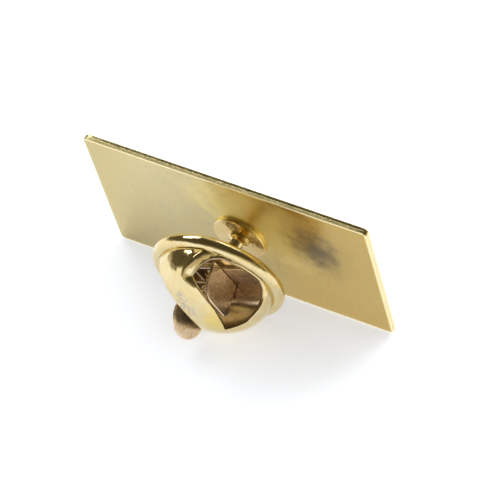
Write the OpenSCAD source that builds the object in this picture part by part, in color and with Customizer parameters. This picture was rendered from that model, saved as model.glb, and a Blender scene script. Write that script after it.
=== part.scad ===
// Rectangular lapel pin with a soldered post and a butterfly clutch.
// X runs along the plate, Z is up, and the clutch side faces -Y.
// The pin rests on the plate's long lower edge and on the rim of the clutch.

/* [Plate] */
// Length of the plate
plate_l = 27; // [20:0.5:40]
// Height of the plate
plate_h = 14.6; // [12:0.2:20]
// Thickness of the plate
plate_t = 0.6; // [0.5:0.05:1.2]
// Radius of the plate's four corners
corner_r = 0.35; // [0.2:0.05:1]
// Lean of the plate over its clutch
lean = 20.45; // [18:0.05:25]

/* [Post] */
// Post's place along the plate, from its middle
post_x = 0.3; // [-2:0.1:2]
// Post's place up the plate, from its middle
post_y = 0.1; // [-1:0.1:1]
// Diameter of the soldered pad
pad_d = 4.9; // [4:0.1:6]
// Thickness of the soldered pad
pad_t = 0.32; // [0.2:0.02:0.5]
// Diameter of the post
post_d = 1.15; // [1:0.05:1.2]
// Length of the post from the plate's back to its tip
post_len = 7.4; // [7:0.1:7.6]
// Height of the flared foot of the post
foot_h = 0.45; // [0.3:0.05:0.8]
// Diameter of the flared foot of the post
foot_d = 2; // [1.6:0.1:2.6]
// Length of the post's point
point_l = 0.9; // [0.5:0.1:1.2]

/* [Clutch] */
// Distance from the plate's back to the top of the clutch's rim
rim_top = 4.78; // [4.7:0.02:5]
// Diameter of the circle through the middle of the rolled rim
rim_d = 10.5; // [10:0.1:11]
// Thickness of the rolled rim
rim_t = 1.2; // [1.1:0.05:1.3]
// Wall of the rim, which is rolled up and hollow
curl_t = 0.2; // [0.16:0.02:0.3]
// Height of the dome over the rim
dome_h = 3.9; // [3.7:0.05:4.2]
// Fullness of the dome's shoulder, less is fuller
dome_curve = 0.97; // [0.7:0.01:1]
// Diameter of the dome at its foot
dome_d = 10.1; // [9.6:0.05:10.2]
// Thickness of the clutch's sheet metal
sheet_t = 0.35; // [0.25:0.05:0.35]
// Turn of the near window from the plate's long direction
clutch_turn = 19; // [0:1:40]
// Tilt of the loose clutch on its post
clutch_tilt = 7.9; // [0:0.1:8]
// Direction of the tilt's axis in the plate's plane
tilt_dir = 66.5; // [0:1:180]
// Distance from the plate's back at which the tilted clutch is centred
tilt_at = 3; // [2.5:0.1:4]

/* [Windows] */
// Direction of the near window, from the clutch's X
near_dir = 27; // [15:1:35]
// Half width of the near window
near_w = 3.2; // [2.8:0.1:3.6]
// Height of the near window's sill over the rim
near_sill = 0.05; // [0.05:0.05:0.4]
// Radius of the near window's lower corners
window_r = 1.6; // [0.8:0.1:1.8]
// Sideways reach of the near window along the strap
near_end_y = 1.9; // [1.6:0.1:2.6]
// Radius of the strap's near edge, which bulges outwards
near_r = 5.5; // [5:0.1:12]
// Reach of the strap's near edge
strap_near = 2.1; // [2:0.1:2.5]
// Sideways offset of the strap's near edge
near_off = 0.9; // [0:0.1:1]
// Height of the far window's sill over the rim
far_sill = 0.15; // [0.1:0.05:0.5]
// Radius of the far window, which is round
far_r = 4.7; // [4:0.05:5]
// Sideways offset of the far window
far_off = 0.1; // [0:0.1:1]
// Reach of the strap's far edge
strap_far = 0.7; // [0.6:0.05:1.1]

/* [Spring] */
// Thickness of the spring's sheet
spring_t = 0.28; // [0.2:0.02:0.3]
// Distance of the near wing's bend from the clutch's axis
near_s = 1.35; // [1.3:0.05:1.7]
// Distance of the far wing's bend from the clutch's axis
far_s = 1.7; // [1.6:0.05:1.8]
// Half width of the near wing
near_wing_w = 1.85; // [1.8:0.05:2.1]
// Half width of the far wing
far_wing_w = 2; // [1.8:0.05:2.3]
// Sideways offset of a wing
wing_off = 0.85; // [0.6:0.05:1]
// Corner radius of the near wing beside its arm
near_wing_r = 0.6; // [0.4:0.1:1]
// Corner radius of the near wing on its other side
near_back_r = 1.3; // [1:0.1:1.6]
// Corner radius of the far wing
far_wing_r = 1.95; // [1.4:0.05:2]
// Height of the near wing's tip over the rim
near_tip = 3; // [2.5:0.1:3.1]
// Height of the far wing's tip over the rim
far_tip = 4.85; // [4.3:0.05:5]
// Outward lean of the near wing
near_lean = 7; // [0:0.5:8]
// Outward lean of the far wing
far_lean = 6; // [3:0.5:9]
// Outer radius of the spring's folded arms
arm_r = 0.55; // [0.45:0.05:0.6]
// Level of the round tops' centre over the rim
arm_z = 0.6; // [0.4:0.1:0.7]
// Sideways offset of the folded arms
arm_off = 1.65; // [1.65:0.05:1.75]
// Start of the near arm, which runs beside the near wing
near_arm = 0.3; // [0.3:0.05:0.6]
// Start of the far arm, outside the far wing
far_arm = 2.1; // [2.1:0.05:2.4]
// Reach of the spring's folded arms, whose ends follow the cap's wall
arm_s = 4.56; // [4.2:0.02:4.6]
// Reach of the arms at their top
arm_top_s = 4.3; // [3.8:0.05:4.3]
// Clearance between a jaw and the post
jaw_gap = 0.08; // [0.05:0.01:0.1]
// Wall of a jaw around the post
jaw_wall = 0.34; // [0.3:0.02:0.4]
// Travel of a jaw's slot past the post
jaw_play = 0.37; // [0.3:0.01:0.4]
// Height of the near wing's jaw over the rim
near_jaw = 0.55; // [0.5:0.05:0.6]
// Height of the far wing's jaw over the rim
far_jaw = 1.35; // [1.3:0.05:1.5]

/* [Placing] */
// Distance from the plate's standing edge to the middle of the footprint
edge_y = 2.73; // [2.5:0.01:4]

/* [Hidden] */
$fn = 96;

// Small clearance between pieces that lie on each other
gap = 0.03;
// Overlap that makes a cut pass clean through
eps = 0.01;
post_r = post_d / 2;
rim_r = rim_t / 2;
// Levels over the top of the rim, along the clutch's axis
disc_t = 0.26;
disc_z = -0.96;
disc_r = 4.95;
strip_z = disc_z + disc_t + gap;
strip_top = strip_z + spring_t;
bend_z = strip_top + gap + spring_t / 2;
// Half length and width of the spring's flat strip
strip_l = 4.1;
strip_w = 3;
// Holes round the post in the disc and in the strip
hole_r = 1;
strip_hole_r = 1.1;
// Slot in a jaw, and the tongues' place across the clutch
slot_r = post_r + jaw_gap;
jaw_y = 0.25;
// Reach of the near and the far tongue past the clutch's axis
near_end = 1.27;
far_end = 0.64;
// Height of the cut that opens the strap from above
open_h = dome_h + 1;
dome_n = 20;
// Inner radius of the dome's foot
in_r = dome_d / 2 - sheet_t;
gold = [0.86, 0.72, 0.42];
pale_gold = [0.88, 0.8, 0.58];

// Points of the dome's outline from its foot to its top
function dome_arc(r, h) =
    [for (a = [0 : 90 / dome_n : 90]) [r * cos(a), h * pow(sin(a), dome_curve)]];

// Puts a shape drawn on the plate's back, Z out of the back, in its resting place
module on_plate() {
    translate([0, edge_y, plate_h / 2 * cos(lean)])
        rotate([90 + lean, 0, 0])
            children();
}

// Puts a shape drawn round the clutch's axis, Z = 0 on top of the rim, X to the near window
module in_clutch() {
    on_plate()
        translate([post_x, post_y, tilt_at])
            rotate(a = clutch_tilt, v = [cos(tilt_dir), sin(tilt_dir), 0])
                translate([0, 0, rim_top - tilt_at])
                    rotate([0, 0, clutch_turn])
                        children();
}

// Puts a shape drawn round the true post's axis into the clutch's own frame
module round_post() {
    rotate([0, 0, -clutch_turn])
        translate([0, 0, tilt_at - rim_top])
            rotate(a = -clutch_tilt, v = [cos(tilt_dir), sin(tilt_dir), 0])
                children();
}

// Rectangle with round corners, w by h, centred
module round_rect(w, h, r) {
    union() {
        square([w - 2 * r, h], center = true);
        square([w, h - 2 * r], center = true);
        for (x = [-1, 1], y = [-1, 1])
            translate([x * (w / 2 - r), y * (h / 2 - r)])
                circle(r);
    }
}

module post_solid() {
    cylinder(h = pad_t, r = pad_d / 2);
    translate([0, 0, pad_t - eps])
        cylinder(h = foot_h, r1 = foot_d / 2, r2 = post_r);
    cylinder(h = post_len - point_l, r = post_r);
    translate([0, 0, post_len - point_l])
        cylinder(h = point_l, r1 = post_r, r2 = post_r / 3);
}

module plate() {
    color(gold)
        on_plate()
            union() {
                translate([0, 0, -plate_t])
                    linear_extrude(plate_t)
                        round_rect(plate_l, plate_h, corner_r);
                translate([post_x, post_y, -eps])
                    post_solid();
            }
}

// Space of the near window: a slot cut from its own direction, with a strap edge that bulges outwards
module near_window() {
    difference() {
        intersection() {
            rotate([0, 0, near_dir])
                union() {
                    translate([0, -near_w, near_sill + window_r])
                        cube([dome_d, 2 * near_w, open_h]);
                    translate([0, window_r - near_w, near_sill])
                        cube([dome_d, 2 * (near_w - window_r), open_h]);
                    for (side = [-1, 1])
                        translate([0, side * (near_w - window_r), near_sill + window_r])
                            rotate([0, 90, 0])
                                cylinder(h = dome_d, r = window_r);
                }
            translate([0, -near_end_y, 0])
                cube([dome_d, dome_d, open_h]);
        }
        translate([strap_near - near_r, near_off, 0])
            cylinder(h = open_h + near_w, r = near_r);
    }
}

// Space of the far window, round when seen from above
module far_window() {
    rotate([0, 0, 180])
        translate([strap_far + far_r, far_off, far_sill])
            cylinder(h = open_h, r = far_r);
}

module cap() {
    color(pale_gold)
        in_clutch()
            difference() {
                union() {
                    translate([0, 0, -rim_r])
                        rotate_extrude()
                            translate([rim_d / 2, 0])
                                circle(rim_r);
                    translate([0, 0, -rim_r])
                        cylinder(h = rim_r + eps, r = dome_d / 2);
                    rotate_extrude()
                        polygon(concat([[0, 0]], dome_arc(dome_d / 2, dome_h)));
                }
                translate([0, 0, -eps])
                    rotate_extrude()
                        polygon(concat([[0, 0]], dome_arc(in_r, dome_h - sheet_t + eps)));
                translate([0, 0, -rim_t - eps])
                    cylinder(h = rim_t + 2 * eps, r = in_r);
                translate([0, 0, -rim_r])
                    rotate_extrude()
                        translate([rim_d / 2, 0])
                            circle(rim_r - curl_t);
                translate([0, 0, disc_z - gap])
                    cylinder(h = disc_t + 2 * gap, r = disc_r + gap);
                near_window();
                far_window();
            }
}

module base_disc() {
    color(pale_gold)
        in_clutch()
            translate([0, 0, disc_z])
                difference() {
                    cylinder(h = disc_t, r = disc_r);
                    translate([0, 0, -eps])
                        cylinder(h = disc_t + 2 * eps, r = hole_r);
                }
}

// Folded arm of the spring, a round-topped channel along X that starts at start
module spring_arm(start) {
    intersection() {
        translate([start, -arm_off, arm_z])
            rotate([90, 0, 90])
                linear_extrude(arm_s)
                    difference() {
                        union() {
                            circle(arm_r);
                            translate([-arm_r, strip_z - arm_z])
                                square([2 * arm_r, arm_z - strip_z]);
                        }
                        circle(arm_r - spring_t);
                        translate([-arm_r + spring_t, strip_z - arm_z - eps])
                            square([2 * (arm_r - spring_t), arm_z - strip_z + eps]);
                    }
        translate([0, 0, -rim_t])
            union() {
                cylinder(h = rim_t + arm_z + eps, r = arm_s);
                translate([0, 0, rim_t + arm_z])
                    cylinder(h = arm_r + eps, r1 = arm_s, r2 = arm_top_s);
            }
    }
}

module spring_base() {
    color(gold)
        in_clutch()
            union() {
                translate([0, 0, strip_z])
                    difference() {
                        translate([-strip_l, -strip_w / 2, 0])
                            cube([2 * strip_l, strip_w, spring_t]);
                        translate([0, 0, -eps])
                            cylinder(h = spring_t + 2 * eps, r = strip_hole_r);
                    }
                spring_arm(near_arm);
                rotate([0, 0, 180])
                    spring_arm(far_arm);
            }
}

// Outline of a wing, standing on X, 2 * w wide, with upper corners of radius r[0] and r[1]
module wing_outline(w, h, r) {
    union() {
        translate([-w, 0])
            square([w, h - r[0]]);
        square([w, h - r[1]]);
        translate([r[0] - w, 0])
            square([2 * w - r[0] - r[1], h]);
        translate([r[0] - w, h - r[0]])
            circle(r[0]);
        translate([w - r[1], h - r[1]])
            circle(r[1]);
    }
}

// Wing that stands on its bend at at_s, reaches tip_z over the rim and leans out by lean_out
module paddle(at_s, w, tip_z, r, lean_out) {
    translate([at_s, wing_off, bend_z])
        rotate([0, lean_out, 0])
            union() {
                rotate([90, 0, 0])
                    cylinder(h = 2 * w, r = spring_t / 2, center = true);
                translate([-spring_t / 2, 0, 0])
                    rotate([90, 0, 90])
                        linear_extrude(spring_t)
                            wing_outline(w, tip_z - bend_z, r);
            }
}

// Slot that follows the true post and runs on by play along the clutch's X
module post_slot(play) {
    round_post()
        union() {
            cylinder(h = post_len, r = slot_r);
            rotate([0, 0, clutch_turn]) {
                translate([play, 0, 0])
                    cylinder(h = post_len, r = slot_r);
                translate([min(play, 0), -slot_r, 0])
                    cube([abs(play), 2 * slot_r, post_len]);
            }
        }
}

// Flat tongue from a wing's leaning sheet to jaw_end past the post, at height z
module jaw_tongue(at_s, z, jaw_end, lean_out) {
    root = at_s + (z - bend_z) * tan(lean_out);
    translate([-jaw_end, jaw_y - slot_r - jaw_wall, z])
        cube([root + jaw_end, 2 * (slot_r + jaw_wall), spring_t]);
}

module near_wing() {
    color(gold)
        in_clutch()
            difference() {
                union() {
                    paddle(near_s, near_wing_w, near_tip, [near_wing_r, near_back_r], near_lean);
                    jaw_tongue(near_s, near_jaw, near_end, near_lean);
                }
                post_slot(jaw_play);
            }
}

module far_wing() {
    color(gold)
        in_clutch()
            difference() {
                rotate([0, 0, 180])
                    union() {
                        paddle(far_s, far_wing_w, far_tip, [far_wing_r, far_wing_r], far_lean);
                        mirror([0, 1, 0])
                            jaw_tongue(far_s, far_jaw, far_end, far_lean);
                    }
                post_slot(-jaw_play);
            }
}

plate();
cap();
base_disc();
spring_base();
near_wing();
far_wing();
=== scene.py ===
import math
import bmesh
import bpy
import numpy as np
from mathutils import Matrix, Vector, geometry


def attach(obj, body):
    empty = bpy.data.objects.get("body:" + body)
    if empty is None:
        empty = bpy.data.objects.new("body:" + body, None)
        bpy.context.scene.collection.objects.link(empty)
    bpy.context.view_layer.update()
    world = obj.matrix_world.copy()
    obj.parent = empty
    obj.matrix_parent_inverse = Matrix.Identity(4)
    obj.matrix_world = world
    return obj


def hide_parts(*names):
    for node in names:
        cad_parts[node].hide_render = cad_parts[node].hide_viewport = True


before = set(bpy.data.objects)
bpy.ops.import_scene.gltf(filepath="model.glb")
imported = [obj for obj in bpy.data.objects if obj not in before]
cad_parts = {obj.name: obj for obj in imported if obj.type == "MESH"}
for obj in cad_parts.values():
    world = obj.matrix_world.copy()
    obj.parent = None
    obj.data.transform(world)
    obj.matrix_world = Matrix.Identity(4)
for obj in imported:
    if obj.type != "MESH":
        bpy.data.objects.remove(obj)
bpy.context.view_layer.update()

# Sizes are in millimetres and degrees, with the names that they have in the part's source

# Plate; EDGE_Y is where the middle of its back is
PLATE_L, PLATE_H, PLATE_T, CORNER_R = 27.0, 14.6, 0.6, 0.35
LEAN, EDGE_Y = 20.45, 2.73
WAVE = 0.004

# Post, with its pad and flared foot
POST_X, POST_Y, POST_D, POST_LEN, POINT_L = 0.3, 0.1, 1.15, 7.4, 0.9
PAD_D, PAD_T, FOOT_H, FOOT_D = 4.9, 0.32, 0.45, 2.0
PAD_SINK, PAD_ROUND, FOOT_ROUND = 0.02, 0.1, 0.13

# How the clutch sits on the post
CLUTCH_TURN, CLUTCH_TILT, TILT_DIR, TILT_AT = 19.0, 7.9, 66.5, 3.0

# Cap: the rolled rim, whose sheet ends at the angle CURL_END, and the dome
RIM_TOP, RIM_D, RIM_T, CURL_T, CURL_END = 4.78, 10.5, 1.2, 0.2, -139.5
RIM_R = RIM_T / 2
DOME_H, DOME_D, DOME_CURVE, SHEET_T = 3.9, 10.1, 0.97, 0.35

# Near window, and the bead round its upper corner: the distances of its crest and foot from
# the window, how high it rises, how deep it dips towards the window, the place along the
# flat pattern from which it grows, the length over which it does, and its share elsewhere
NEAR_DIR, NEAR_W, NEAR_SILL, WINDOW_R, NEAR_END_Y = 27.0, 3.2, 0.05, 1.6, 1.9
NEAR_R, STRAP_NEAR, NEAR_OFF, NEAR_SOFT = 5.5, 2.1, 0.9, 0.16
BEAD_CREST, BEAD_FOOT, BEAD_HIGH, BEAD_DEEP = 0.75, 1.6, 0.26, 0.2
BEAD_FROM, BEAD_GROWS, BEAD_LEAST = 3.5, 1.4, 0.06

# Far window
FAR_SILL, FAR_R, FAR_OFF, STRAP_FAR, FAR_SOFT = 0.15, 4.7, 0.1, 0.7, 0.22

# Disc, and the spring's strip that lies on it
GAP, DISC_T, DISC_Z, DISC_R, HOLE_R, DISC_ROUND = 0.03, 0.26, -0.96, 4.95, 1.0, 0.06
DISC_TOP = DISC_Z + DISC_T
SPRING_T, STRIP_L, STRIP_W, STRIP_HOLE_R, STRIP_R = 0.28, 4.1, 3.0, 1.1, 0.3
STRIP_Z = DISC_TOP + GAP
STRIP_TOP = STRIP_Z + SPRING_T
BEND_Z = STRIP_TOP + GAP + SPRING_T / 2

# Folded arms beside the wings, with a round nose that shrinks and sinks
ARM_R, ARM_Z, ARM_OFF, ARM_S, ARM_TOP_S = 0.55, 0.6, 1.65, 4.56, 4.3
NEAR_ARM, FAR_ARM, ARM_CLEAR, ARM_SOFT = 0.3, 2.1, 0.02, 0.05
NOSE_L, NOSE_SHRINKS, NOSE_SINKS = 0.5, 0.93, 0.12

# Wings: half widths, and the radii of their upper corners
NEAR_S, FAR_S, WING_OFF, NEAR_WING_W, FAR_WING_W = 1.35, 1.7, 0.85, 1.85, 2.0
NEAR_WING_R, FAR_WING_R, WING_SOFT = (0.6, 1.3), (1.95, 1.95), 0.06
NEAR_TIP, FAR_TIP, NEAR_LEAN, FAR_LEAN = 3.0, 4.85, 7.0, 6.0

# Jaws, the wings' flat tongues with a slot round the post
JAW_GAP, JAW_WALL, JAW_PLAY, JAW_Y, JAW_R = 0.08, 0.34, 0.37, 0.25, 0.15
NEAR_JAW, FAR_JAW, NEAR_END, FAR_END = 0.55, 1.35, 1.27, 0.64
SLOT_R = POST_D / 2 + JAW_GAP

# Radius of each sheet's round edge, and the spacing of the points on it
PLATE_EDGE, CAP_EDGE, STRIP_EDGE = 0.1, 0.1, 0.08
ARM_EDGE, WING_EDGE, JAW_EDGE = 0.1, 0.12, 0.06
PLATE_STEP, CAP_STEP, STRIP_STEP = 0.35, 0.15, 0.2
ARM_STEP, WING_STEP, JAW_STEP = 0.14, 0.14, 0.1

# Attribute that keeps each point's place in its piece's own millimetres
OWN = "own_mm"


def turn(degrees, axis):
    return Matrix.Rotation(math.radians(degrees), 4, axis)


# Frames: the plate's back, and the clutch's axis from the top of its rim
ON_PLATE = (Matrix.Translation((0, EDGE_Y, PLATE_H / 2 * math.cos(math.radians(LEAN))))
            @ turn(90 + LEAN, "X"))
TILT_AXIS = Vector((math.cos(math.radians(TILT_DIR)), math.sin(math.radians(TILT_DIR)), 0))
IN_CLUTCH = (ON_PLATE @ Matrix.Translation((POST_X, POST_Y, TILT_AT))
             @ turn(CLUTCH_TILT, TILT_AXIS)
             @ Matrix.Translation((0, 0, RIM_TOP - TILT_AT)) @ turn(CLUTCH_TURN, "Z"))
TO_METRES = Matrix.Scale(0.001, 4)


# Mesh tools
class Mesh:
    """Points and faces of one piece, in millimetres, in the frame it is drawn in."""

    def __init__(self):
        self.points, self.faces = [], []

    def add(self, points, faces):
        base = len(self.points)
        self.points += [tuple(p) for p in points]
        self.faces += [[base + i for i in f] for f in faces]

    def revolve(self, profile, steps, closed=True, at=(0, 0)):
        """Turns a profile of (radius, height) points round the vertical line through at."""
        n = len(profile)
        angles = np.linspace(0, 2 * math.pi, steps, endpoint=False)
        points = [(at[0] + r * math.cos(a), at[1] + r * math.sin(a), z)
                  for a in angles for r, z in profile]
        faces = []
        for i in range(steps):
            j = (i + 1) % steps
            for k in range(n if closed else n - 1):
                m = (k + 1) % n
                faces.append([i * n + k, j * n + k, j * n + m, i * n + m])
        self.add(points, faces)

    def piece(self, name, matrix, body, slot, material, *nodes):
        """Makes the object, rides it on its body and puts it in place of its CAD nodes."""
        bm = bmesh.new()
        for p in self.points:
            bm.verts.new(p)
        bm.verts.ensure_lookup_table()
        for f in self.faces:
            bm.faces.new([bm.verts[i] for i in f])
        bmesh.ops.remove_doubles(bm, verts=bm.verts, dist=1e-5)
        bmesh.ops.dissolve_degenerate(bm, dist=1e-6, edges=bm.edges)
        bmesh.ops.recalc_face_normals(bm, faces=bm.faces)
        own = bm.verts.layers.float_vector.new(OWN)
        for v in bm.verts:
            v[own] = v.co
        bmesh.ops.transform(bm, matrix=TO_METRES @ matrix, verts=bm.verts)
        for f in bm.faces:
            f.smooth = True
        mesh = bpy.data.meshes.new(name)
        bm.to_mesh(mesh)
        bm.free()
        obj = bpy.data.objects.new(name, mesh)
        bpy.context.scene.collection.objects.link(obj)
        mesh.materials.append(material)
        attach(obj, body)
        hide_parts(*nodes)
        return obj


def arc(cx, cy, r, start, end, steps):
    """Points on an arc, angles in degrees."""
    return [(cx + r * math.cos(math.radians(a)), cy + r * math.sin(math.radians(a)))
            for a in np.linspace(start, end, steps)]


def ring(r, steps):
    """Points on a whole circle, the first one once."""
    return arc(0, 0, r, 0, 360, steps + 1)[:-1]


def rounded_rect(x0, x1, y0, y1, r):
    corners = (x1 - r, y1 - r), (x0 + r, y1 - r), (x0 + r, y0 + r), (x1 - r, y0 + r)
    return [p for k, (cx, cy) in enumerate(corners)
            for p in arc(cx, cy, r, 90 * k, 90 * k + 90, 8)]


def smooth(t):
    """Smooth step of t from 0 to 1."""
    t = np.clip(t, 0, 1)
    return t ** 2 * (3 - 2 * t)


def even(points, step):
    """The closed outline with points a step apart."""
    p = np.array(points, float)
    p = np.vstack([p, p[:1]])
    length = np.concatenate([[0], np.cumsum(np.linalg.norm(np.diff(p, axis=0), axis=1))])
    n = max(8, int(round(length[-1] / step)))
    t = np.linspace(0, length[-1], n, endpoint=False)
    return np.column_stack([np.interp(t, length, p[:, 0]), np.interp(t, length, p[:, 1])])


def soften(points, reach):
    """The closed outline with its corners rounded by about reach."""
    step = 0.04
    p = even(points, step)
    width = reach / step
    k = np.arange(-int(3 * width) - 1, int(3 * width) + 2)
    w = np.exp(-0.5 * (k / width) ** 2)
    w /= w.sum()
    return sum(wi * np.roll(p, -ki, axis=0) for wi, ki in zip(w, k))


def inside(points, loop):
    """Which points lie in the closed loop."""
    x, y = points[:, 0], points[:, 1]
    result = np.zeros(len(points), bool)
    for (x0, y0), (x1, y1) in zip(loop, np.roll(loop, -1, axis=0)):
        if y0 != y1:
            crosses = (y0 > y) != (y1 > y)
            result ^= crosses & (x < (x1 - x0) * (y - y0) / (y1 - y0) + x0)
    return result


def away_from(points, loop):
    """How far each point is from the loop's nearest point."""
    away = np.full(len(points), np.inf)
    for q in loop:
        away = np.minimum(away, np.hypot(*(points - q).T))
    return away


def cut_pattern(outline, cuts, step):
    """Points and triangles of a flat pattern, about a step apart: the outline less the cuts.
    Inside, the points are a triangular grid that stays clear of those on the lines."""
    row, clear = step * 0.87, step * 0.62
    loop = even(outline, step)
    holes = [even(c, step) for c in cuts]

    def on_pattern(points):
        keep = inside(points, loop)
        for hole in holes:
            keep &= ~inside(points, hole)
        return keep

    low, high = loop.min(0), loop.max(0)
    grid = np.array([(x + (k % 2) * step / 2, y)
                     for k, y in enumerate(np.arange(low[1], high[1], row))
                     for x in np.arange(low[0], high[0], step)])
    grid = grid[on_pattern(grid)]
    for line in [loop] + holes:
        grid = grid[away_from(grid, line) > clear]
    coords, edges = [Vector(p) for p in grid], []
    for line in [loop] + holes:
        base, n = len(coords), len(line)
        coords += [Vector(p) for p in line]
        edges += [(base + i, base + (i + 1) % n) for i in range(n)]
    out = geometry.delaunay_2d_cdt(coords, edges, [], 0, 1e-6)
    flat = np.array([tuple(v) for v in out[0]])
    tris = np.array([list(f) for f in out[2]])
    tris = tris[on_pattern(flat[tris].mean(axis=1))]
    a, b, c = flat[tris[:, 0]], flat[tris[:, 1]], flat[tris[:, 2]]
    area = (b[:, 0] - a[:, 0]) * (c[:, 1] - a[:, 1]) - (b[:, 1] - a[:, 1]) * (c[:, 0] - a[:, 0])
    tris[area < 0] = tris[area < 0][:, ::-1]
    return flat, tris


def sheet(mesh, outline, cuts, surface, thickness, edge, step, round_steps=4, inner=None):
    """Adds sheet metal with edges of radius edge. Its flat pattern is the outline less the
    cuts. For points of the pattern, surface gives the place and normal of the outer face,
    and inner the place of the inner one, where that isn't thickness below the outer."""
    flat, tris = cut_pattern(outline, cuts, step)
    top, normal = surface(flat)
    bottom = top - normal * thickness if inner is None else inner(flat)
    sides = dict.fromkeys((int(t[i]), int(t[(i + 1) % 3])) for t in tris for i in range(3))
    border = [(p, q) for p, q in sides if (q, p) not in sides]
    outward = {}
    for p, q in border:
        side = np.cross(top[q] - top[p], normal[p] + normal[q])
        side /= np.linalg.norm(side) or 1
        for v in (p, q):
            outward[v] = outward.get(v, np.zeros(3)) + side
    points, size, across = list(top) + list(bottom), len(flat), {}
    turns = np.linspace(0, math.pi / 2, round_steps + 1)[1:]
    for v, d in outward.items():
        d = d / (np.linalg.norm(d) or 1)
        n = top[v] - bottom[v]
        n /= np.linalg.norm(n)
        bend = [top[v] + d * edge * math.sin(w) - n * edge * (1 - math.cos(w)) for w in turns]
        bend += [bottom[v] + d * edge * math.sin(w) + n * edge * (1 - math.cos(w))
                 for w in turns[::-1]]
        across[v] = [v, *range(len(points), len(points) + len(bend)), size + v]
        points += bend
    faces = [list(t) for t in tris] + [[size + int(i) for i in t[::-1]] for t in tris]
    for p, q in border:
        for k in range(len(across[p]) - 1):
            faces.append([across[p][k], across[p][k + 1], across[q][k + 1], across[q][k]])
    mesh.add(points, faces)


def level(z):
    """Surface for a flat sheet whose upper face is at height z."""
    def surface(flat):
        n = len(flat)
        return np.column_stack([flat, np.full(n, z)]), np.tile([0.0, 0.0, 1.0], (n, 1))

    return surface


# Materials; their places and sizes are in millimetres too
class Nodes:
    """Short calls for the nodes of one material or world."""

    def __init__(self, tree):
        self.tree = tree

    def link(self, source, socket):
        """Feeds a socket from another one, or with a constant."""
        if isinstance(source, bpy.types.NodeSocket):
            self.tree.links.new(source, socket)
        else:
            socket.default_value = source

    def new(self, kind, inputs=None, **settings):
        """A node with the settings, whose inputs are fed."""
        node = self.tree.nodes.new(kind)
        for key, value in settings.items():
            setattr(node, key, value)
        for key, source in (inputs or {}).items():
            self.link(source, node.inputs[key])
        return node

    def calc(self, operation, a, b=0.0):
        return self.new("ShaderNodeMath", {0: a, 1: b}, operation=operation).outputs[0]

    def plus(self, a, b):
        return self.calc("ADD", a, b)

    def times(self, a, b):
        return self.calc("MULTIPLY", a, b)

    def vector(self, operation, a, b=(0, 0, 0)):
        """Number that a vector operation gives."""
        node = self.new("ShaderNodeVectorMath", {0: a, 1: b}, operation=operation)
        return node.outputs["Value"]

    def parts(self, vector):
        return self.new("ShaderNodeSeparateXYZ", {0: vector}).outputs

    def ramp(self, value, low, high, to_low=0.0, to_high=1.0):
        """Smooth step from to_low, where the value is low, to to_high, where it is high."""
        limits = {"From Min": low, "From Max": high, "To Min": to_low, "To Max": to_high}
        node = self.new("ShaderNodeMapRange", {"Value": value, **limits},
                        interpolation_type="SMOOTHSTEP")
        return node.outputs["Result"]

    def mix(self, factor, a, b):
        node = self.new("ShaderNodeMix", {"Factor": factor, 6: a, 7: b}, data_type="RGBA")
        return node.outputs[2]

    def place(self):
        """Place in the piece's own millimetres."""
        return self.new("ShaderNodeAttribute", attribute_name=OWN).outputs["Vector"]

    def own(self, stretch=(1, 1, 1)):
        """Place in the piece's own millimetres, stretched."""
        node = self.new("ShaderNodeMapping", {"Vector": self.place(), "Scale": stretch})
        return node.outputs["Vector"]

    def spot(self, centre, angle, reach, wide, blur):
        """Distance from the centre in an ellipsoid's own measure, with a cloudy edge. The
        ellipsoid reaches furthest along the angle."""
        place = self.place()
        node = self.new("ShaderNodeMapping", {
            "Vector": place, "Location": centre, "Rotation": (0, 0, math.radians(angle)),
            "Scale": (reach, wide, wide)}, vector_type="TEXTURE")
        cloud = self.ramp(self.noise(place, 0.8, 3, 0.6), 0.3, 0.7, -blur, blur)
        return self.plus(self.vector("LENGTH", node.outputs["Vector"]), cloud)

    def noise(self, place, scale, detail, rough):
        inputs = {"Vector": place, "Scale": scale, "Detail": detail, "Roughness": rough}
        return self.new("ShaderNodeTexNoise", inputs).outputs["Fac"]


def metal(name, metallic=1):
    mat = bpy.data.materials.new(name)
    mat.use_nodes = True
    shader = mat.node_tree.nodes["Principled BSDF"]
    shader.inputs["Metallic"].default_value = metallic
    return mat, Nodes(mat.node_tree), shader


def dress(n, shader, color, rough, height, depth):
    """Gives the shader its colour and roughness, and a relief that is depth metres deep."""
    n.link(color, shader.inputs["Base Color"])
    n.link(rough, shader.inputs["Roughness"])
    relief = n.new("ShaderNodeBump", {"Strength": 1, "Distance": depth, "Height": height})
    n.link(relief.outputs["Normal"], shader.inputs["Normal"])


# Plate's colours: its face, with painted shade at the left end and a painted golden reflection
# towards the right; the painted reflection, half-shade and shadow on its back; the worn band with
# a painted highlight round the back's edge; and its cut sides
FACE_LEFT_SHADE, FACE_PALE = (0.52, 0.42, 0.19, 1), (0.66, 0.54, 0.265, 1)
FACE_GREY, FACE_RIGHT_REFLECTION = (0.62, 0.53, 0.285, 1), (0.66, 0.475, 0.15, 1)
GOLDEN_REFLECTION, HALF_SHADE, REFLECTED_SHADOW = (1.0, 0.83, 0.31, 1), (0.54, 0.385, 0.135, 1), (0.2, 0.15, 0.07, 1)
TORN_DARK, TORN_LIGHT = (0.42, 0.36, 0.16, 1), (0.86, 0.75, 0.4, 1)
END_GOLD, WORN_HIGHLIGHT_GOLD = (0.78, 0.66, 0.36, 1), (1.0, 0.86, 0.48, 1)


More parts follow.
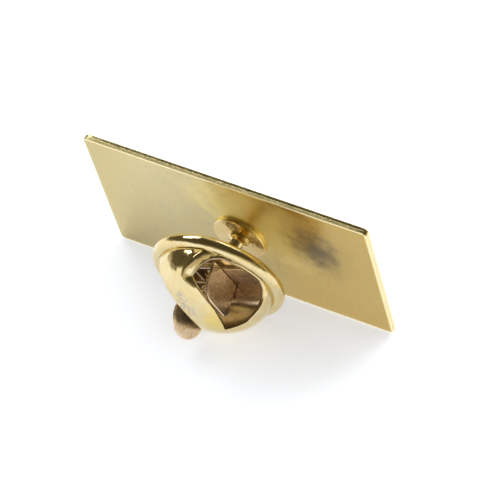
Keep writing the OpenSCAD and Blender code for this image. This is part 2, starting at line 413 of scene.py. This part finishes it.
def make_plate_gold():
    """Satin plating on rolled sheet, with a painted golden reflection in the middle and a painted
    reflected shadow on the back, and a burnished and a torn band on the cut sides."""
    mat, n, shader = metal("plate_gold")
    place = n.own()
    x, y, z = n.parts(place)
    cloud = n.noise(place, 0.35, 3, 0.55)
    grain = n.noise(n.own((1, 9, 1)), 3, 4, 0.6)
    fine = n.noise(place, 22, 2, 0.5)
    torn = n.noise(n.own((1, 1, 2)), 5, 4, 0.7)

    # Cut sides, which begin a little inside the plate's ends and long edges
    inset = 0.05
    over_end = n.calc("SUBTRACT", n.calc("ABSOLUTE", x), PLATE_L / 2 - inset)
    over_edge = n.calc("SUBTRACT", n.calc("ABSOLUTE", y), PLATE_H / 2 - inset)
    away = n.calc("MAXIMUM", over_end, over_edge)
    side = n.ramp(away, 0.0, 0.03)
    burnished = n.times(side, n.ramp(z, -0.3, -0.36))
    rough_band = n.times(side, n.ramp(z, -0.34, -0.28))
    # Brighter gold round the back's edge: worn plating with a painted highlight
    worn_and_highlight = n.times(n.ramp(away, -0.15, -0.03), n.ramp(z, -0.16, -0.05))

    # Painted reflections and shade that show on the back alone, which is at z = 0
    back = n.ramp(z, -0.45, -0.15)

    def back_patch(cx, cy, angle, reach, wide, blur, core):
        return n.times(back, n.ramp(n.spot((cx, cy, 0), angle, reach, wide, blur), 1.0, core))

    # Painted golden reflection of the cap, a painted half-shade, and the clutch's shadow painted
    # as a reflection
    golden_reflection = back_patch(3.0, 3.2, -20, 8.5, 6.2, 0.08, 0.25)
    half_shade = back_patch(8.0, 2.4, 95, 5.4, 4.4, 0.08, 0.2)
    reflected_shadow = back_patch(8.0, 1.9, 92, 3.9, 2.9, 0.16, 0.0)

    face = n.mix(n.ramp(cloud, 0.3, 0.7), FACE_PALE, FACE_GREY)
    # Painted shade darkens the left end, and a painted golden reflection enriches the right half
    face = n.mix(n.ramp(x, -13, -5), FACE_LEFT_SHADE, face)
    face = n.mix(n.ramp(x, -2, 6), face, FACE_RIGHT_REFLECTION)
    for where, color in ((golden_reflection, GOLDEN_REFLECTION), (half_shade, HALF_SHADE), (reflected_shadow, REFLECTED_SHADOW)):
        face = n.mix(where, face, color)
    band = n.mix(n.ramp(torn, 0.4, 0.65), TORN_DARK, TORN_LIGHT)
    band = n.mix(n.ramp(over_end, 0.0, 0.03), band, END_GOLD)
    color = n.mix(worn_and_highlight, n.mix(side, face, band), WORN_HIGHLIGHT_GOLD)

    rough = n.plus(n.ramp(cloud, 0.3, 0.7, 0.2, 0.27), n.ramp(grain, 0.3, 0.7, -0.03, 0.05))
    rough = n.plus(rough, n.times(n.plus(rough_band, golden_reflection), 0.1))
    rough = n.calc("SUBTRACT", rough, n.times(burnished, 0.14))
    height = n.plus(n.times(grain, 0.06), n.times(fine, 0.2))
    height = n.plus(height, n.times(n.times(torn, rough_band), 2.0))
    dress(n, shader, color, rough, height, 0.000012)
    return mat


def polish(n, light, deep, rough):
    """Colour, roughness and height of bright plating with faint clouds, fine scratches and
    hammer marks."""
    place = n.own()
    cloud = n.noise(place, 0.7, 3, 0.6)
    fine = n.noise(place, 14, 3, 0.6)
    marks = n.noise(place, 1.6, 2, 0.5)
    return (n.mix(n.ramp(cloud, 0.35, 0.7), light, deep),
            n.ramp(fine, 0.3, 0.75, rough, rough * 2.2), n.plus(marks, n.times(fine, 0.04)))


def make_polished(name, light, deep, rough):
    """Bright plating all over."""
    mat, n, shader = metal(name)
    dress(n, shader, *polish(n, light, deep, rough), 0.00003)
    return mat


# Cap's colours: its plating, a painted yellow reflection and a painted dark reflection on it, and
# its inside, darkened by painted shade
CAP_LIGHT, CAP_DEEP = (0.76, 0.64, 0.37, 1), (0.72, 0.57, 0.27, 1)
YELLOW_REFLECTION, DARK_REFLECTION, CAP_INSIDE_SHADE = (0.84, 0.66, 0.2, 1), (0.5, 0.45, 0.36, 1), (0.55, 0.42, 0.26, 1)


def make_cap_gold():
    """Bright plating outside; a rougher inside, whose dull brown is painted shade."""
    mat, n, shader = metal("cap_gold")
    color, rough, height = polish(n, CAP_LIGHT, CAP_DEEP, 0.07)
    from_middle = n.vector("LENGTH", n.own((2 / DOME_D, 2 / DOME_D, 1 / DOME_H)))
    # Inside the sheet: painted shade that turns it dull brown, and more roughness
    within = n.ramp(from_middle, 0.975, 0.955)
    # Painted yellow reflection and a painted dark reflection on the dome; the dark one is also
    # rougher
    yellow_reflection = n.ramp(n.spot((1.2, -0.3, 3.5), 60, 2.6, 1.3, 0.2), 1.0, 0.2, 0.0, 0.8)
    dull_dark_reflection = n.times(n.ramp(n.spot((-0.35, 2.0, 3.5), 100, 1.7, 1.0, 0.3), 1.0, 0.3),
                     n.ramp(n.noise(n.own(), 2.4, 4, 0.7), 0.44, 0.56))
    for where, over in ((yellow_reflection, YELLOW_REFLECTION), (dull_dark_reflection, DARK_REFLECTION), (within, CAP_INSIDE_SHADE)):
        color = n.mix(where, color, over)
    duller = n.plus(n.times(within, 0.2), n.times(dull_dark_reflection, 0.25))
    dress(n, shader, color, n.plus(rough, duller), height, 0.00003)
    return mat


# Spring's colours
SPRING_LIGHT, SPRING_DEEP = (0.9, 0.7, 0.46, 1), (0.68, 0.51, 0.32, 1)
STREAK_HIGHLIGHT = (1.0, 0.84, 0.62, 1)


def make_spring_gold():
    """Brown spring sheet with drawn streaks, which are shinier, and lighter as painted highlights.
    """
    mat, n, shader = metal("spring_gold", 0.9)
    cloud = n.noise(n.own(), 0.9, 3, 0.6)
    streak = n.noise(n.own((0.5, 5, 1.2)), 2.2, 4, 0.65)
    color = n.mix(n.ramp(cloud, 0.35, 0.65), SPRING_LIGHT, SPRING_DEEP)
    # Lighter along the streaks: painted highlight streaks
    color = n.mix(n.ramp(streak, 0.52, 0.66), color, STREAK_HIGHLIGHT)
    rough = n.ramp(streak, 0.35, 0.65, 0.28, 0.12)
    dress(n, shader, color, rough, n.plus(streak, n.times(cloud, 1.5)), 0.00003)
    return mat


# Colours of the post with its pad, and of the disc
POST_LIGHT, POST_DEEP = (0.86, 0.68, 0.33, 1), (0.8, 0.6, 0.25, 1)
DISC_LIGHT, DISC_DEEP = (0.98, 0.84, 0.48, 1), (0.95, 0.76, 0.38, 1)

plate_gold = make_plate_gold()
cap_gold = make_cap_gold()
spring_gold = make_spring_gold()
post_gold = make_polished("post_gold", POST_LIGHT, POST_DEEP, 0.1)
disc_gold = make_polished("disc_gold", DISC_LIGHT, DISC_DEEP, 0.12)


# Pieces
def build_plate():
    """Plate with a faintly wavy back and a flat front."""
    m = Mesh()
    half_l, half_h = PLATE_L / 2 - PLATE_EDGE, PLATE_H / 2 - PLATE_EDGE
    outline = rounded_rect(-half_l, half_l, -half_h, half_h, CORNER_R - PLATE_EDGE)

    def surface(flat):
        x, y = flat[:, 0], flat[:, 1]
        z = WAVE * (np.sin(x * 0.55 + 0.6) * np.cos(y * 0.5) + np.sin(y * 0.8 + x * 0.2) - 1.2)
        return np.column_stack([x, y, z]), np.tile([0.0, 0.0, 1.0], (len(flat), 1))

    def inner(flat):
        return np.column_stack([flat, np.full(len(flat), -PLATE_T)])

    sheet(m, outline, [], surface, PLATE_T, PLATE_EDGE, PLATE_STEP, inner=inner)
    return m.piece("plate_sheet", ON_PLATE, "plate", "plate_gold", plate_gold, "plate")


def build_post():
    """Pad with a round edge, solder round the flared foot, and the post with its point."""
    m = Mesh()
    r, pad_r, foot_r, point_z = POST_D / 2, PAD_D / 2, FOOT_D / 2, POST_LEN - POINT_L
    profile = [(0, -PAD_SINK), (pad_r - PAD_SINK, -PAD_SINK), (pad_r, 0.03)]
    profile += arc(pad_r - PAD_ROUND, PAD_T - PAD_ROUND, PAD_ROUND, 0, 90, 6)
    profile += [(foot_r + 0.25, PAD_T + 0.005), (foot_r + 0.05, PAD_T + 0.03)]
    profile += arc(foot_r - 0.12, PAD_T + 0.12, FOOT_ROUND, -50, 60, 6)
    profile += [(r + 0.12, PAD_T + 0.3), (r + 0.03, PAD_T + 0.4), (r, PAD_T + FOOT_H)]
    profile += [(r, point_z), (r * 0.97, point_z + 0.12), (r / 3 + 0.05, POST_LEN - 0.06),
                (r / 3 - 0.05, POST_LEN), (0, POST_LEN)]
    m.revolve(profile, 96, closed=False, at=(POST_X, POST_Y))
    return m.piece("pad_and_post", ON_PLATE, "plate", "plate_gold", post_gold, "plate")


def dome_table():
    """Arc length from the top, radius and height along the dome and its skirt."""
    a = math.pi / 2 * (1 - np.linspace(0, 1, 2000))
    r = np.concatenate([DOME_D / 2 * np.cos(a), [DOME_D / 2]])
    z = np.concatenate([DOME_H * np.sin(a) ** DOME_CURVE, [-RIM_R]])
    s = np.concatenate([[0], np.cumsum(np.hypot(np.diff(r), np.diff(z)))])
    return s, r, z


DOME_S, DOME_RAD, DOME_Z = dome_table()


def dome_at(s):
    """Radius and height of the dome at arc length s; the radius is negative past the top."""
    over = np.abs(s)
    r = np.interp(over, DOME_S, DOME_RAD)
    return np.where(s < 0, -r, r), np.interp(over, DOME_S, DOME_Z)


def dome_surface(flat):
    """Place and normal of the dome's outer face at a point of its flat pattern."""
    s, ang = np.hypot(flat[:, 0], flat[:, 1]), np.arctan2(flat[:, 1], flat[:, 0])
    d = 0.05
    (r, z), (r0, z0), (r1, z1) = dome_at(s), dome_at(s - d), dome_at(s + d)
    size = np.hypot(r1 - r0, z1 - z0)
    nr, nz = -(z1 - z0) / size, (r1 - r0) / size
    place = np.column_stack([r * np.cos(ang), r * np.sin(ang), z])
    return place, np.column_stack([nr * np.cos(ang), nr * np.sin(ang), nz])


def dome_height(x, y):
    return float(np.interp(math.hypot(x, y), DOME_RAD[:-1], DOME_Z[:-1]))


def dome_radius(z):
    return float(np.interp(-z, -DOME_Z, DOME_RAD))


def onto_pattern(x, y, z=None):
    """Flat-pattern point of the dome's point above (x, y), or at height z in its direction."""
    ang = math.atan2(y, x)
    if z is None:
        s = np.interp(math.hypot(x, y), DOME_RAD[:-1], DOME_S[:-1])
    else:
        s = np.interp(-z, -DOME_Z, DOME_S)
    return s * math.cos(ang), s * math.sin(ang)


def wall_point(t, z):
    """Flat-pattern point of the wall at sideways place t of the near window and height z."""
    u = math.sqrt(max(dome_radius(z) ** 2 - t * t, 0))
    a = math.radians(NEAR_DIR)
    return onto_pattern(u * math.cos(a) - t * math.sin(a), u * math.sin(a) + t * math.cos(a), z)


def near_outline():
    """Flat pattern of the near window: along the strap, its cut end, down one side, along
    the sill and up the other side."""
    a, r = math.radians(NEAR_DIR), WINDOW_R
    w, end, sill = NEAR_W + CAP_EDGE, NEAR_END_Y + CAP_EDGE, NEAR_SILL - CAP_EDGE
    strap = [(x, y) for x, y in arc(STRAP_NEAR - NEAR_R, NEAR_OFF, NEAR_R - CAP_EDGE, 60, -60, 241)
             if y * math.cos(a) - x * math.sin(a) < w and y > -end]
    x0, x1 = strap[-1][0], (w - end * math.cos(a)) / math.sin(a)
    low = sill + r
    loop = [onto_pattern(x, y) for x, y in strap]
    loop += [onto_pattern(x, -end) for x in np.linspace(x0, x1, 20)]
    loop += [wall_point(-w, z) for z in np.linspace(dome_height(x1, -end), low, 16)]
    loop += [wall_point(-w + r - y, low + z) for y, z in arc(0, 0, r, 0, -90, 16)]
    loop += [wall_point(t, sill) for t in np.linspace(r - w, w - r, 30)[1:-1]]
    loop += [wall_point(w - r + y, low + z) for y, z in arc(0, 0, r, -90, 0, 16)]
    loop += [wall_point(w, z) for z in np.linspace(low, dome_height(*strap[0]), 16)]
    return loop


def far_outline():
    """Flat pattern of the far window: the strap's round edge and the sill."""
    sill, reach = FAR_SILL - CAP_EDGE, FAR_R + CAP_EDGE
    x, y = -(STRAP_FAR + FAR_R), -FAR_OFF
    r, away, way = dome_radius(sill), math.hypot(x, y), math.degrees(math.atan2(y, x))
    along = (r ** 2 - reach ** 2 + away ** 2) / (2 * away)
    half = math.degrees(math.acos(along / r))
    corner = math.degrees(math.acos((away - along) / reach))
    strap = arc(x, y, reach, way + 180 - corner, way + 180 + corner, 90)
    loop = [onto_pattern(*p) for p in strap]
    return loop + [onto_pattern(*p, sill) for p in arc(0, 0, r, way - half, way + half, 60)]


def beaded(loop):
    """The dome's surface with a bead round the upper corner of the window's loop."""
    def raised(flat):
        place, normal = dome_surface(flat)
        away = away_from(flat, loop[::2])
        share = smooth((flat[:, 1] - BEAD_FROM) / BEAD_GROWS) * (1 - BEAD_LEAST) + BEAD_LEAST
        rise = np.clip((BEAD_FOOT - away) / (BEAD_FOOT - BEAD_CREST), 0, 1) ** 1.5
        dip = np.clip(1 - away / BEAD_CREST, 0, 1) ** 1.3
        height = share * (BEAD_HIGH * rise - (BEAD_HIGH + BEAD_DEEP) * dip)
        return place + normal * height[:, None]

    def surface(flat):
        d = 0.03
        du = raised(flat + (d, 0)) - raised(flat - (d, 0))
        dv = raised(flat + (0, d)) - raised(flat - (0, d))
        n = np.cross(du, dv)
        return raised(flat), n / np.linalg.norm(n, axis=1)[:, None]

    return surface


def rim_profile():
    """Rolled rim: outer face, rounded end of the sheet, inner face."""
    cx, cy, mid = RIM_D / 2, -RIM_R, RIM_R - CURL_T / 2
    start = math.degrees(math.acos((DOME_D / 2 - RIM_D / 2) / RIM_R))
    end = math.radians(CURL_END)
    lip = cx + mid * math.cos(end), cy + mid * math.sin(end)
    return (arc(cx, cy, RIM_R, start, CURL_END, 64)
            + arc(*lip, CURL_T / 2, CURL_END - 20, CURL_END - 160, 6)
            + arc(cx, cy, RIM_R - CURL_T, CURL_END, 120, 40))


def build_cap():
    m = Mesh()
    near, far = soften(near_outline(), NEAR_SOFT), soften(far_outline(), FAR_SOFT)
    sheet(m, ring(DOME_S[-1], 240), [near, far], beaded(near), SHEET_T, CAP_EDGE, CAP_STEP,
          round_steps=5)
    m.revolve(rim_profile(), 224)
    return m.piece("cap_shell", IN_CLUTCH, "clutch", "cap_gold", cap_gold, "cap")


def build_disc():
    """Disc with round edges, and a pressed lip round its hole."""
    m = Mesh()
    b, low, top = DISC_ROUND, DISC_Z, DISC_TOP
    m.revolve([(HOLE_R + 0.35, low), (DISC_R - b, low), (DISC_R, low + b),
               (DISC_R, top - b), (DISC_R - b, top), (HOLE_R + 0.35, top),
               (HOLE_R + 0.15, top + 0.01), (HOLE_R + 0.04, top - 0.02), (HOLE_R, top - 0.09),
               (HOLE_R, low + 0.09), (HOLE_R + 0.04, low + 0.02), (HOLE_R + 0.15, low)], 128)
    return m.piece("base_plate", IN_CLUTCH, "clutch", "cap_gold", disc_gold, "base_disc")


def add_arm(m, sign, start):
    """Folded arm along X, on the near side for sign 1 and the far one for -1. It starts with
    a round nose, and its end follows the cap's wall."""
    half = math.pi * ARM_R / 2
    low = half + ARM_Z - STRIP_Z - ARM_CLEAR - ARM_EDGE

    def across(v, k):
        """Side and height of the fold at distance v from its top line, shrunk to k."""
        a = np.clip(v / ARM_R, -math.pi / 2, math.pi / 2)
        drop = np.clip(np.abs(v) - half, 0, None) + (1 - k) * NOSE_SINKS
        return ARM_R * k * np.sin(a) - ARM_OFF, ARM_Z + ARM_R * k * np.cos(a) - drop

    def place(u, v):
        t = np.clip((start + NOSE_L - u) / NOSE_L, 0, 1)
        y, z = across(v, np.sqrt(np.clip(1 - (t * NOSE_SHRINKS) ** 2, 0, 1)))
        return np.column_stack([sign * u, sign * y, z])

    def surface(flat):
        u, v = flat.T
        d = 0.02
        p, ones = place(u, v), np.ones(len(flat))
        n = np.cross(place(u, v + d) - place(u, v - d), place(u + d, v) - place(u - d, v))
        n /= np.linalg.norm(n, axis=1)[:, None]
        middle = np.column_stack([p[:, 0], -sign * ARM_OFF * ones, ARM_Z * ones])
        n[np.einsum("ij,ij->i", n, p - middle) < 0] *= -1
        return p, n

    begin = start + ARM_EDGE * 0.2
    outline = [(begin, low), (begin, -low)]
    for v in np.linspace(-low, low, 60):
        y, z = across(v, 1)
        reach = ARM_S - (ARM_S - ARM_TOP_S) * min(max((z - ARM_Z) / ARM_R, 0), 1)
        outline.append((math.sqrt(reach ** 2 - y ** 2) - ARM_EDGE, v))
    sheet(m, soften(outline, ARM_SOFT), [], surface, SPRING_T, ARM_EDGE, ARM_STEP)


def build_spring():
    m = Mesh()
    x, y = STRIP_L - STRIP_EDGE, STRIP_W / 2 - STRIP_EDGE
    sheet(m, rounded_rect(-x, x, -y, y, STRIP_R), [ring(STRIP_HOLE_R + STRIP_EDGE, 60)],
          level(STRIP_TOP), SPRING_T, STRIP_EDGE, STRIP_STEP)
    add_arm(m, 1, NEAR_ARM)
    add_arm(m, -1, FAR_ARM)
    return m.piece("spring_strip", IN_CLUTCH, "clutch", "spring_gold", spring_gold, "spring_base")


def add_leaf(m, sign, at_s, width, radii, tip, lean):
    """Upright leaf of a wing, which leans out by lean at the distance at_s from the axis, on
    the near side for sign 1 and the far one for -1."""
    w, h = width - WING_EDGE, tip - BEND_Z - WING_EDGE
    r0, r1 = radii[0] - WING_EDGE, radii[1] - WING_EDGE
    outline = ([(-w, 0), (w, 0)] + arc(w - r1, h - r1, r1, 0, 90, 16)
               + arc(r0 - w, h - r0, r0, 90, 180, 16))
    a = math.radians(lean)
    out, up = Vector((math.cos(a), 0, -math.sin(a))), Vector((math.sin(a), 0, math.cos(a)))

    def surface(flat):
        u, v = flat.T
        root = np.array((at_s, WING_OFF, BEND_Z))
        place = root + np.outer(v, up) + SPRING_T / 2 * np.array(out)
        place[:, 1] += u
        n = np.tile(np.array(out), (len(u), 1))
        place[:, :2] *= sign
        n[:, :2] *= sign
        return place, n

    sheet(m, soften(outline, WING_SOFT), [], surface, SPRING_T, WING_EDGE, WING_STEP)


def add_jaw(m, sign, at_s, lean, z, end):
    """Tongue of a wing at height z, from its leaf to the distance end past the axis, with a
    slot that leaves the post room as the wing turns."""
    root = at_s + (z - BEND_Z) * math.tan(math.radians(lean))
    half, r = SLOT_R + JAW_WALL - JAW_EDGE, SLOT_R + JAW_EDGE
    x0, x1 = sorted((sign * root, -sign * (end - JAW_EDGE)))
    tongue = rounded_rect(x0, x1, JAW_Y - half, JAW_Y + half, JAW_R)
    to_clutch = IN_CLUTCH.inverted() @ ON_PLATE
    p0, p1 = (to_clutch @ Vector((POST_X, POST_Y, h)) for h in (0, POST_LEN))
    post = p0.lerp(p1, (z + SPRING_T / 2 - p0.z) / (p1.z - p0.z))
    x0, x1 = sorted((post.x, post.x + sign * JAW_PLAY))
    slot = arc(x0, post.y, r, 90, 270, 24) + arc(x1, post.y, r, -90, 90, 24)
    sheet(m, tongue, [slot], level(z + SPRING_T), SPRING_T, JAW_EDGE, JAW_STEP)


def build_wings():
    m = Mesh()
    add_leaf(m, 1, NEAR_S, NEAR_WING_W, NEAR_WING_R, NEAR_TIP, NEAR_LEAN)
    add_jaw(m, 1, NEAR_S, NEAR_LEAN, NEAR_JAW, NEAR_END)
    m.piece("wing_near", IN_CLUTCH, "near_wing", "spring_gold", spring_gold, "near_wing")
    m = Mesh()
    add_leaf(m, -1, FAR_S, FAR_WING_W, FAR_WING_R, FAR_TIP, FAR_LEAN)
    add_jaw(m, -1, FAR_S, FAR_LEAN, FAR_JAW, FAR_END)
    m.piece("wing_far", IN_CLUTCH, "far_wing", "spring_gold", spring_gold, "far_wing")


# Stage, in metres and degrees
CAM_AT, CAM_TURN = (0.10839, -0.17322, 0.16255), (52.738, 0.726, 30.802)
CAM_LENS, CAM_SENSOR = 223.2, 36
FLOOR_HALF, FLOOR_COLOR, FLOOR_ROUGH = 2, (0.84, 0.87, 0.95, 1), 0.7
FLOOR_GLOW, GLOW_STRENGTH = (0.9, 0.94, 1, 1), 0.48

# Softboxes: azimuth, elevation, distance, width, height, power, whether the metal mirrors it
LIGHTS = {"key": (165, 45, 0.8, 0.62, 0.32, 1.5, True),
          "back": (85, 42, 0.9, 0.6, 0.6, 1.4, True),
          "fill_top": (0, 90, 1.6, 1.6, 1.6, 3.5, False)}
for i in range(6):
    LIGHTS["fill_%d" % i] = (20 + 60 * i, 30, 1.6, 1.3, 1.3, 3.7, False)

# Studio: its colours, and the directions in which the band is high and the panel stands
SKY_LOW, SKY_HIGH = (0.13, 0.115, 0.07, 1), (0.08, 0.067, 0.036, 1)
BAND, BAND_HIGH, PANEL = (0.75, 0.7, 0.58, 1), (0.7, 0.64, 0.48, 1), (0.85, 0.79, 0.64, 1)
BAND_WAY, PANEL_WAY = (0.64, -0.77, 0), (0, 0.94, 0.34)


def add_object(name, data):
    obj = bpy.data.objects.new(name, data)
    bpy.context.scene.collection.objects.link(obj)
    return obj


def add_camera():
    cam = bpy.data.cameras.new("camera")
    cam.lens, cam.sensor_width, cam.clip_start, cam.clip_end = CAM_LENS, CAM_SENSOR, 0.01, 10
    obj = add_object("camera", cam)
    obj.location = CAM_AT
    obj.rotation_euler = [math.radians(a) for a in CAM_TURN]
    bpy.context.scene.camera = obj


def add_floor():
    """White floor that glows a little, so that shadows on it stay pale."""
    h = FLOOR_HALF
    mesh = bpy.data.meshes.new("floor")
    mesh.from_pydata([(-h, -h, 0), (h, -h, 0), (h, h, 0), (-h, h, 0)], [], [(0, 1, 2, 3)])
    mat = bpy.data.materials.new("floor_white")
    mat.use_nodes = True
    inputs = mat.node_tree.nodes["Principled BSDF"].inputs
    inputs["Base Color"].default_value = FLOOR_COLOR
    inputs["Roughness"].default_value = FLOOR_ROUGH
    inputs["Emission Color"].default_value = FLOOR_GLOW
    inputs["Emission Strength"].default_value = GLOW_STRENGTH
    mesh.materials.append(mat)
    floor = add_object("floor", mesh)


def add_light(name, azimuth, elevation, distance, width, height, power, mirrored):
    """Oval softbox aimed at the pin."""
    a, e = math.radians(azimuth), math.radians(elevation)
    at = Vector((math.cos(a) * math.cos(e), math.sin(a) * math.cos(e), math.sin(e))) * distance
    light = bpy.data.lights.new(name, "AREA")
    light.shape, light.size, light.size_y, light.energy = "ELLIPSE", width, height, power
    obj = add_object(name, light)
    obj.location = at
    obj.rotation_euler = (-at).to_track_quat("-Z", "Y").to_euler()
    obj.visible_glossy = mirrored


def add_world():
    """Dim warm studio with a lighter band round the horizon, which is higher on one side,
    and a pale panel behind the plate."""
    world = bpy.data.worlds.new("world")
    bpy.context.scene.world = world
    world.use_nodes = True
    n = Nodes(world.node_tree)
    way = n.new("ShaderNodeTexCoord").outputs["Generated"]
    up = n.parts(way)["Z"]
    sky = n.mix(n.ramp(up, 0.15, 0.75), SKY_LOW, SKY_HIGH)
    band = n.mix(n.ramp(up, 0.0, 0.16), BAND, sky)
    high = n.mix(n.ramp(up, 0.2, 0.45), BAND_HIGH, sky)
    around = n.mix(n.ramp(n.vector("DOT_PRODUCT", way, BAND_WAY), 0.5, 1.0), band, high)
    panel = n.ramp(n.vector("DOT_PRODUCT", way, PANEL_WAY), 0.52, 0.9)
    color = n.mix(panel, around, PANEL)
    n.link(color, world.node_tree.nodes["Background"].inputs["Color"])


build_plate()
build_post()
build_cap()
build_disc()
build_spring()
build_wings()
add_camera()
add_floor()
add_world()
for name, numbers in LIGHTS.items():
    add_light(name, *numbers)
bpy.context.scene.view_settings.view_transform = "Standard"
